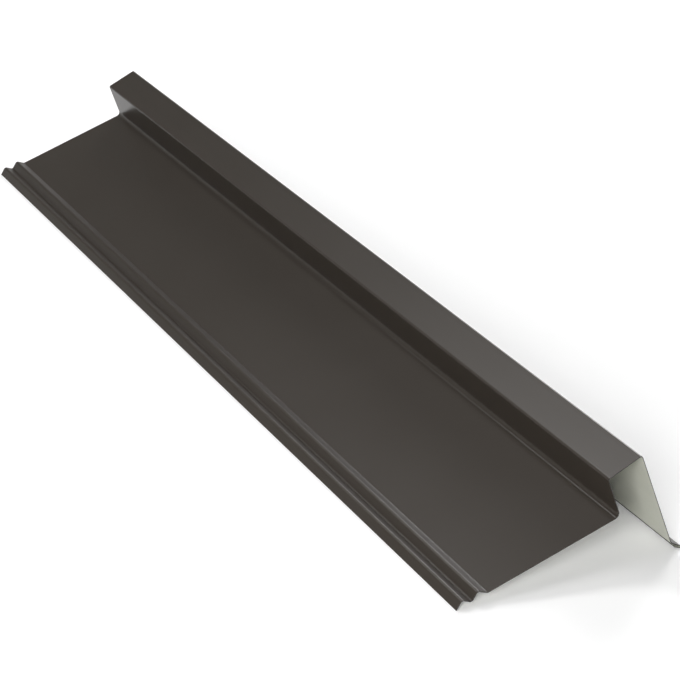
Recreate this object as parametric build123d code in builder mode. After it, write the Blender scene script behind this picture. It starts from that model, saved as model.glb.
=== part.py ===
from build123d import *
import os
from math import asin, atan2, degrees, hypot

# Verge trim: one folded sheet of pre-painted steel, stored as it lies on a level floor.
# +X runs along the trim, +Y points from the pan to the fascia, +Z is up.
# The origin is on the floor, at the middle of the trim's length and width.

# Sheet
sheet_length = 1000.0  # the trim is cut square at both ends
sheet_thickness = 0.6

# Anti-capillary ribs along the free edge of the pan
rib_count = 2
rib_pitch = 13.2
rib_height = 5.4  # to the sharp crest that the rib's bend rounds off
rib_radius = 2.0  # inside radius of every rib bend

# Pan, from the foot of the inner rib to the riser
pan_width = 112.0
gutter_radius = 3.8  # inside radius where the pan turns up into the riser

# Riser and shelf, which saddle the top of the bargeboard
riser_height = 33.2
riser_angle = 90.0  # from the pan
shelf_length = 30.6
shelf_slope = 6.5  # the shelf rises outwards from the riser
fold_radius = 1.4  # inside radius at both edges of the shelf

# Fascia, which covers the bargeboard's face
fascia_length = 80.9
fascia_splay = 1.0  # outwards, from square to the pan
kick_radius = 2.0  # inside radius where the fascia kicks out into the drip lip

# Drip lip with a narrow hem folded back under it
lip_length = 10.2  # to the tip of the hem's fold
lip_splay = 42.2  # outwards, from square to the pan
hem_length = 5.4  # from the tip of the fold to the hem's free edge
hem_opening = 8.0  # angle between the hem and the lip
hem_radius = 0.4  # inside radius of the hem's fold


def leg(start, length, heading):
    """The corner at the end of a straight leg, with its heading in degrees from the pan."""
    return start + Vector(length, 0, 0).rotate(Axis.Z, heading)


# Corners of the weather side, from the free edge to the drip lip, with the pan level
riser_foot = Vector(0, 0, 0)
riser_top = leg(riser_foot, riser_height, riser_angle)
ridge = leg(riser_top, shelf_length, shelf_slope)
fascia_foot = leg(ridge, fascia_length, fascia_splay - 90)
lip_heading = lip_splay - 90
hem_fold_radius = hem_radius + sheet_thickness  # on the weather side
fold_start = leg(fascia_foot, lip_length - hem_fold_radius, lip_heading)

rib_corners = []
for rib in range(rib_count, 0, -1):
    outer_foot = -pan_width - rib * rib_pitch
    rib_corners.append(Vector(outer_foot, 0, 0))
    rib_corners.append(Vector(outer_foot + rib_pitch / 2, rib_height, 0))
pan_start = Vector(-pan_width, 0, 0)

# Weather-side radius of each bend: inside where it turns up, outside where it turns down
rib_bends = [rib_radius + sheet_thickness, rib_radius] * rib_count
outer_fold = fold_radius + sheet_thickness
trim_bends = [gutter_radius, outer_fold, outer_fold, kick_radius]

# Section of the sheet, with the pan level
with BuildSketch() as section:
    with BuildLine() as weather_side:
        corners = rib_corners + [pan_start, riser_foot, riser_top, ridge, fascia_foot, fold_start]
        FilletPolyline(*corners, radius=rib_bends + trim_bends)
        hem_fold = JernArc(
            fold_start,
            leg(Vector(0, 0, 0), 1, lip_heading),
            hem_fold_radius,
            hem_opening - 180,
        )
        hem_start = hem_fold @ 1
        hem_edge = leg(hem_start, hem_length - hem_fold_radius, lip_heading + 180 + hem_opening)
        Line(hem_start, hem_edge)
        offset(amount=sheet_thickness, side=Side.RIGHT)
    make_face()

# Rest pose: the free edge's underside and the fold of the hem both touch the floor
first_slope = degrees(atan2(rib_height, rib_pitch / 2))
floor_corner = leg(rib_corners[0], sheet_thickness, first_slope - 90)
to_fold = hem_fold.arc_center - floor_corner
drop = degrees(atan2(-to_fold.Y, to_fold.X))
fold_lift = degrees(asin(hem_fold_radius / hypot(to_fold.X, to_fold.Y)))
rest_angle = drop + fold_lift

lying = section.sketch.rotate(Axis.Z, rest_angle).bounding_box()
section_plane = Plane(
    origin=(0, -lying.center().X, -lying.min.Y),
    x_dir=Vector(0, 1, 0).rotate(Axis.X, rest_angle),
    z_dir=(1, 0, 0),
)

with BuildPart() as verge_trim:
    with BuildSketch(section_plane):
        add(section.sketch)
    extrude(amount=sheet_length / 2, both=True)

verge_trim.part.label = "verge_trim"

os.makedirs("parts", exist_ok=True)
export_step(verge_trim.part, "parts/verge_trim.step")
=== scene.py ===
import math

import bmesh
import bpy
from mathutils import Matrix, Vector


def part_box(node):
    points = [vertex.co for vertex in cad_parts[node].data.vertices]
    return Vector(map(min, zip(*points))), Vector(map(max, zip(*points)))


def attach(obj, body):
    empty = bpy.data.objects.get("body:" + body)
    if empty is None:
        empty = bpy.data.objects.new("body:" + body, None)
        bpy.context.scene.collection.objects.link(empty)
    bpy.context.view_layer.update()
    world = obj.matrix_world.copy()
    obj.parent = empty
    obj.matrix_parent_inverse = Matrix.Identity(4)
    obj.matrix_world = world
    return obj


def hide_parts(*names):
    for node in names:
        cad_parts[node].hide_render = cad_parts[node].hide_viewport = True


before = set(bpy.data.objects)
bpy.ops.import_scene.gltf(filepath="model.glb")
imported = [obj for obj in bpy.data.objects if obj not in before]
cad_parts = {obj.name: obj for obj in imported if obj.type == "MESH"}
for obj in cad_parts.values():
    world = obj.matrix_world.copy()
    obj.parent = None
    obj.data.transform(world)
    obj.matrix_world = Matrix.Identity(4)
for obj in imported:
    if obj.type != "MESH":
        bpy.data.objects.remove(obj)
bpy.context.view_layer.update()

# Section of the folded sheet, in metres and degrees, from the free edge to the hem
sheet_thickness = 0.0006
rib_count = 2
rib_pitch = 0.0132
rib_height = 0.0054
rib_radius = 0.0020
pan_width = 0.1120
gutter_radius = 0.0038
riser_height = 0.0332
riser_angle = 90.0
shelf_length = 0.0306
shelf_slope = 6.5
fold_radius = 0.0014
fascia_length = 0.0809
fascia_splay = 1.0
kick_radius = 0.0020
lip_length = 0.0102
lip_splay = 42.2
hem_length = 0.0054
hem_opening = 8.0
hem_radius = 0.0004

# Fineness of the mesh
bend_step = 7.0  # degrees turned by one facet of a bend
support = 0.00025  # a flat's first row of points beside a bend keeps the flat's shading flat
flat_step = 0.008
station_step = 0.008  # along the trim
edge_round = 0.00010  # what the guillotine leaves on a cut edge
sharp_angle = 60.0  # degrees, only the cut edges turn by more

# Camera, where the photograph was taken from
camera_azimuth = 65.95
camera_elevation = 24.42
camera_roll = -2.74
camera_distance = 2.3
camera_target = Vector((0.0242, 0.0414, -0.0094))
camera_lens = 139.93
camera_sensor = 36.0

floor_lift = 0.13  # the floor's own brightness, for the camera and reflections only
sky_strength = 0.005

TOP, BACK, CUT = 0, 1, 2  # material slots of the sheet


def leg(start, length, heading):
    """The corner at the end of a straight leg, with its heading in degrees from the pan."""
    turn = math.radians(heading)
    return start + length * Vector((math.cos(turn), math.sin(turn)))


def right_of(run):
    return Vector((run.y, -run.x))


def turn_between(run, following):
    """Degrees from one heading to the next, positive to the left."""
    return math.degrees(math.atan2(run.cross(following), run.dot(following)))


def arc(start, run, radius, turn):
    """Points and headings along a bend that leaves start along run."""
    side = math.copysign(1.0, turn)
    centre = start - side * radius * right_of(run)
    steps = max(4, math.ceil(abs(turn) / bend_step))
    samples = []
    for step in range(steps + 1):
        spin = Matrix.Rotation(math.radians(turn) * step / steps, 2)
        samples.append((centre + spin @ (start - centre), spin @ run))
    return samples


def flat(start, end):
    """Points and headings inside a straight stretch, with a supporting point near each end."""
    run = (end - start).normalized()
    inner = (end - start).length - 2 * support
    steps = max(1, round(inner / flat_step))
    return [(start + run * (support + inner * step / steps), run) for step in range(steps + 1)]


def section():
    """The weather side as points and headings, with the pan level, and the fold of the hem."""
    riser_foot = Vector((0.0, 0.0))
    riser_top = leg(riser_foot, riser_height, riser_angle)
    ridge = leg(riser_top, shelf_length, shelf_slope)
    fascia_foot = leg(ridge, fascia_length, fascia_splay - 90)
    hem_fold_radius = hem_radius + sheet_thickness
    fold_start = leg(fascia_foot, lip_length - hem_fold_radius, lip_splay - 90)
    ribs = []
    for rib in range(rib_count, 0, -1):
        outer_foot = -pan_width - rib * rib_pitch
        ribs.append(Vector((outer_foot, 0.0)))
        ribs.append(Vector((outer_foot + rib_pitch / 2, rib_height)))
    pan_start = Vector((-pan_width, 0.0))
    corners = ribs + [pan_start, riser_foot, riser_top, ridge, fascia_foot, fold_start]
    outer_fold = fold_radius + sheet_thickness
    radii = [rib_radius + sheet_thickness, rib_radius] * rib_count
    radii += [gutter_radius, outer_fold, outer_fold, kick_radius]

    at = corners[0]
    samples = [(at, (corners[1] - at).normalized())]
    for before, corner, after, radius in zip(corners, corners[1:], corners[2:], radii):
        run = (corner - before).normalized()
        turn = turn_between(run, (after - corner).normalized())
        bend_start = corner - run * radius * math.tan(math.radians(abs(turn)) / 2)
        samples += flat(at, bend_start)
        bend = arc(bend_start, run, radius, turn)
        samples += bend
        at = bend[-1][0]
    samples += flat(at, fold_start)
    lip_run = samples[-1][1]
    fold_centre = fold_start + right_of(lip_run) * hem_fold_radius
    samples += arc(fold_start, lip_run, hem_fold_radius, hem_opening - 180)
    hem_start, hem_run = samples[-1]
    hem_edge = hem_start + hem_run * (hem_length - hem_fold_radius)
    samples += flat(hem_start, hem_edge)
    samples.append((hem_edge, hem_run))
    return samples, fold_centre, hem_fold_radius


def rest_turn(samples, fold_centre, hem_fold_radius):
    """The turn, in radians, that lays the free edge and the hem's fold on one level floor."""
    start, run = samples[0]
    way = fold_centre - (start + right_of(run) * sheet_thickness)
    return math.atan2(-way.y, way.x) + math.asin(hem_fold_radius / way.length)


def stations():
    """Places along the trim, with a supporting one beside each cut end."""
    low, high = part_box("verge_trim")
    steps = round((high.x - low.x) / station_step)
    inner = [low.x + (high.x - low.x) * step / steps for step in range(1, steps)]
    return [low.x, low.x + 2 * support] + inner + [high.x - 2 * support, high.x]


def folded_sheet():
    """The trim as one closed mesh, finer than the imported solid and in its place."""
    samples, fold_centre, hem_fold_radius = section()
    spin = Matrix.Rotation(rest_turn(samples, fold_centre, hem_fold_radius), 2)
    weather = [spin @ point for point, run in samples]
    back = [spin @ (point + right_of(run) * sheet_thickness) for point, run in samples]
    low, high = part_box("verge_trim")
    left = min(point.x for point in weather + back)
    right = max(point.x for point in weather + back)
    bottom = min(point.y for point in weather + back)
    shift = Vector(((low.y + high.y - left - right) / 2, low.z - bottom))
    places = stations()
    count = len(samples)
    vertices = []
    for x in places:
        vertices += [(x, point.x + shift.x, point.y + shift.y) for point in weather]
        vertices += [(x, point.x + shift.x, point.y + shift.y) for point in back]

    def corner(station, index, under):
        return station * 2 * count + under * count + index

    faces = []
    slots = []
    for station in range(len(places) - 1):
        for index in range(count - 1):
            ring = [(0, index), (0, index + 1), (1, index + 1), (1, index)]
            faces.append([corner(station + ahead, at, 0) for ahead, at in ring])
            slots.append(TOP)
            faces.append([corner(station + ahead, at, 1) for ahead, at in reversed(ring)])
            slots.append(BACK)
        for index in (0, count - 1):
            ring = [(0, 0), (1, 0), (1, 1), (0, 1)]
            faces.append([corner(station + ahead, index, under) for ahead, under in ring])
            slots.append(CUT)
    for station in (0, len(places) - 1):
        for index in range(count - 1):
            ring = [(0, 0), (1, 0), (1, 1), (0, 1)]
            faces.append([corner(station, index + ahead, under) for ahead, under in ring])
            slots.append(CUT)

    mesh = bpy.data.meshes.new("verge_trim_sheet")
    mesh.from_pydata(vertices, [], faces)
    mesh.polygons.foreach_set("material_index", slots)
    mesh.polygons.foreach_set("use_smooth", [True] * len(faces))
    sheet = bpy.data.objects.new("verge_trim_sheet", mesh)
    bpy.context.scene.collection.objects.link(sheet)
    consistent_normals(mesh)
    bevel = sheet.modifiers.new("cut_edges", "BEVEL")
    bevel.width = edge_round
    bevel.segments = 2
    bevel.limit_method = "ANGLE"
    bevel.angle_limit = math.radians(sharp_angle)
    return sheet


def consistent_normals(mesh):
    work = bmesh.new()
    work.from_mesh(mesh)
    bmesh.ops.recalc_face_normals(work, faces=work.faces)
    work.to_mesh(mesh)
    work.free()


class Nodes:
    """Adds nodes to a material and links them by socket names."""

    def __init__(self, name):
        self.material = bpy.data.materials.new(name)
        self.material.use_nodes = True
        self.tree = self.material.node_tree
        self.shader = self.tree.nodes["Principled BSDF"]

    def add(self, kind, inputs=(), **settings):
        node = self.tree.nodes.new(kind)
        for name, value in settings.items():
            setattr(node, name, value)
        for socket, value in dict(inputs).items():
            self.feed(node, socket, value)
        return node

    def feed(self, node, socket, value):
        if isinstance(value, bpy.types.NodeSocket):
            self.tree.links.new(value, node.inputs[socket])
        else:
            node.inputs[socket].default_value = value

    def place(self, scale=(1.0, 1.0, 1.0)):
        """Object coordinates in metres, stretched by scale."""
        where = self.add("ShaderNodeTexCoord").outputs["Object"]
        return self.add("ShaderNodeMapping", {"Vector": where, "Scale": scale}).outputs["Vector"]

    def noise(self, scale, detail=2.0, stretch=(1.0, 1.0, 1.0)):
        inputs = {"Vector": self.place(stretch), "Scale": scale, "Detail": detail}
        return self.add("ShaderNodeTexNoise", inputs).outputs["Fac"]

    def spread(self, value, low, high):
        """Maps nearly all of a noise's range to low and high, so that no part of it is cut off flat."""
        inputs = {"Value": value, "From Min": 0.15, "From Max": 0.85, "To Min": low, "To Max": high}
        return self.add("ShaderNodeMapRange", inputs).outputs["Result"]

    def blend(self, share, first, second):
        node = self.add("ShaderNodeMix", data_type="RGBA")
        self.feed(node, 0, share)
        self.feed(node, 6, first)
        self.feed(node, 7, second)
        return node.outputs[2]

    def bump(self, height, distance, strength, under=None):
        inputs = {"Height": height, "Distance": distance, "Strength": strength}
        if under is not None:
            inputs["Normal"] = under
        return self.add("ShaderNodeBump", inputs).outputs["Normal"]

    def finish(self, **inputs):
        for name, value in inputs.items():
            self.feed(self.shader, name.replace("_", " "), value)
        return self.material


def top_coat():
    """Satin dark grey-brown coil coating: rolled-on paint with a fine peel and faint lengthwise bands."""
    nodes = Nodes("top_coat")
    mottle = nodes.spread(nodes.noise(9.0, 1.0), 0.0, 1.0)
    bands = nodes.spread(nodes.noise(60.0, 1.0, (0.02, 1.0, 1.0)), 0.0, 0.4)
    tone = nodes.blend(mottle, (0.0353, 0.0291, 0.0234, 1.0), (0.0372, 0.0307, 0.0248, 1.0))
    tone = nodes.blend(bands, tone, (0.0397, 0.0329, 0.0266, 1.0))
    rough = nodes.spread(nodes.noise(20.0, 1.0), 0.285, 0.305)
    peel = nodes.bump(nodes.noise(700.0, 1.0), 0.00002, 0.08)
    rolled = nodes.bump(nodes.noise(140.0, 1.0, (0.03, 1.0, 1.0)), 0.00004, 0.08, peel)
    return nodes.finish(Base_Color=tone, Roughness=rough, Specular_IOR_Level=0.18, Normal=rolled)


def back_coat():
    """Pale grey-green primer on the inside, thinly rolled, so it is a little streaked."""
    nodes = Nodes("back_coat")
    streaks = nodes.spread(nodes.noise(110.0, 3.0, (0.03, 1.0, 1.0)), 0.0, 1.0)
    tone = nodes.blend(streaks, (0.455, 0.462, 0.400, 1.0), (0.500, 0.505, 0.440, 1.0))
    rough = nodes.spread(nodes.noise(60.0, 3.0), 0.48, 0.58)
    grain = nodes.bump(nodes.noise(1300.0, 2.0), 0.00002, 0.4)
    return nodes.finish(Base_Color=tone, Roughness=rough, Normal=grain)


def cut_edge():
    """Sheared edge of the sheet, coloured dark, dull and mottled."""
    nodes = Nodes("cut_edge")
    shear = nodes.spread(nodes.noise(2600.0, 2.0), 0.0, 1.0)
    tone = nodes.blend(shear, (0.014, 0.013, 0.012, 1.0), (0.030, 0.029, 0.028, 1.0))
    rough = nodes.spread(nodes.noise(1500.0, 2.0), 0.40, 0.60)
    return nodes.finish(Base_Color=tone, Roughness=rough, Metallic=0.2)


def studio_floor():
    """A pale floor that sweeps up into a low wall all round."""
    radius, rise, cove, around = 7.0, 2.6, 1.8, 96
    profile = [(0.0, 0.0), (0.5, 0.0), (2.0, 0.0)]
    for step in range(13):
        angle = math.radians(90 * step / 12)
        profile.append((radius - cove + cove * math.sin(angle), cove - cove * math.cos(angle)))
    profile.append((radius, rise))
    vertices = [(0.0, 0.0, 0.0)]
    for reach, height in profile[1:]:
        for step in range(around):
            turn = 2 * math.pi * step / around
            vertices.append((reach * math.cos(turn), reach * math.sin(turn), height))
    faces = [(0, 1 + step, 1 + (step + 1) % around) for step in range(around)]
    for ring in range(len(profile) - 2):
        for step in range(around):
            ahead = (step + 1) % around
            near, far = 1 + ring * around, 1 + (ring + 1) * around
            faces.append((near + step, far + step, far + ahead, near + ahead))
    mesh = bpy.data.meshes.new("studio_floor")
    mesh.from_pydata(vertices, [], faces)
    mesh.polygons.foreach_set("use_smooth", [True] * len(faces))
    floor = bpy.data.objects.new("studio_floor", mesh)
    floor.location.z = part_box("verge_trim")[0].z
    bpy.context.scene.collection.objects.link(floor)
    mesh.materials.append(studio_paper())
    return floor


def studio_paper():
    """White paper, lifted a little for the camera and for reflections without lighting the trim more."""
    nodes = Nodes("studio_floor")
    paper = nodes.spread(nodes.noise(0.8, 2.0), 0.0, 1.0)
    tone = nodes.blend(paper, (0.90, 0.90, 0.90, 1.0), (0.92, 0.92, 0.92, 1.0))
    seen = nodes.add("ShaderNodeLightPath").outputs
    rays = nodes.add("ShaderNodeMath", {0: seen["Is Camera Ray"], 1: seen["Is Glossy Ray"]}, operation="ADD")
    rays = nodes.add("ShaderNodeMath", {0: rays.outputs[0], 1: seen["Is Transmission Ray"]}, operation="ADD")
    lift = nodes.add("ShaderNodeMath", {0: rays.outputs[0], 1: floor_lift}, operation="MULTIPLY")
    return nodes.finish(
        Base_Color=tone,
        Roughness=0.9,
        Emission_Color=(1.0, 1.0, 1.0, 1.0),
        Emission_Strength=lift.outputs[0],
    )


def softbox(name, place, aim, width, height, power):
    lamp = bpy.data.lights.new(name, "AREA")
    lamp.shape = "RECTANGLE"
    lamp.size = width
    lamp.size_y = height
    lamp.energy = power
    holder = bpy.data.objects.new(name, lamp)
    holder.location = place
    holder.rotation_mode = "QUATERNION"
    holder.rotation_quaternion = (Vector(aim) - Vector(place)).to_track_quat("-Z", "Y")
    holder.visible_camera = False
    bpy.context.scene.collection.objects.link(holder)
    return holder


def lights():
    softbox("far_softbox", (-3.06, -0.87, 3.87), (0.0, 0.0, 0.0), 1.5, 1.5, 96.0)
    softbox("fascia_softbox", (-2.81, 2.48, 2.10), (0.37, 0.0, 0.0), 1.32, 2.0, 84.0)
    softbox("low_softbox", (-2.66, 2.64, 0.58), (0.44, -0.09, 0.58), 1.32, 1.0, 11.0)
    softbox("open_end_softbox", (2.64, -1.88, 1.30), (0.40, 0.0, 0.0), 1.34, 1.34, 97.0)
    softbox("high_softbox", (-0.2, -0.8, 4.0), (0.0, 0.0, 0.0), 2.4, 2.4, 42.0)
    world = bpy.data.worlds.new("studio")
    world.use_nodes = True
    background = world.node_tree.nodes["Background"]
    background.inputs["Color"].default_value = (1.0, 1.0, 1.0, 1.0)
    background.inputs["Strength"].default_value = sky_strength
    bpy.context.scene.world = world


def camera():
    azimuth = math.radians(camera_azimuth)
    elevation = math.radians(camera_elevation)
    away = Vector((
        math.sin(azimuth) * math.cos(elevation),
        -math.cos(azimuth) * math.cos(elevation),
        math.sin(elevation),
    ))
    data = bpy.data.cameras.new("camera")
    data.sensor_width = camera_sensor
    data.lens = camera_lens
    holder = bpy.data.objects.new("camera", data)
    holder.location = camera_target + away * camera_distance
    level = (-away).to_track_quat("-Z", "Y").to_matrix().to_4x4()
    roll = Matrix.Rotation(math.radians(camera_roll), 4, "Z")
    holder.matrix_world = Matrix.Translation(holder.location) @ level @ roll
    bpy.context.scene.collection.objects.link(holder)
    bpy.context.scene.camera = holder


sheet = folded_sheet()
for coat in (top_coat(), back_coat(), cut_edge()):
    sheet.data.materials.append(coat)
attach(sheet, "root")
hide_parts("verge_trim")

studio_floor()
lights()
camera()
bpy.context.scene.view_settings.view_transform = "Standard"
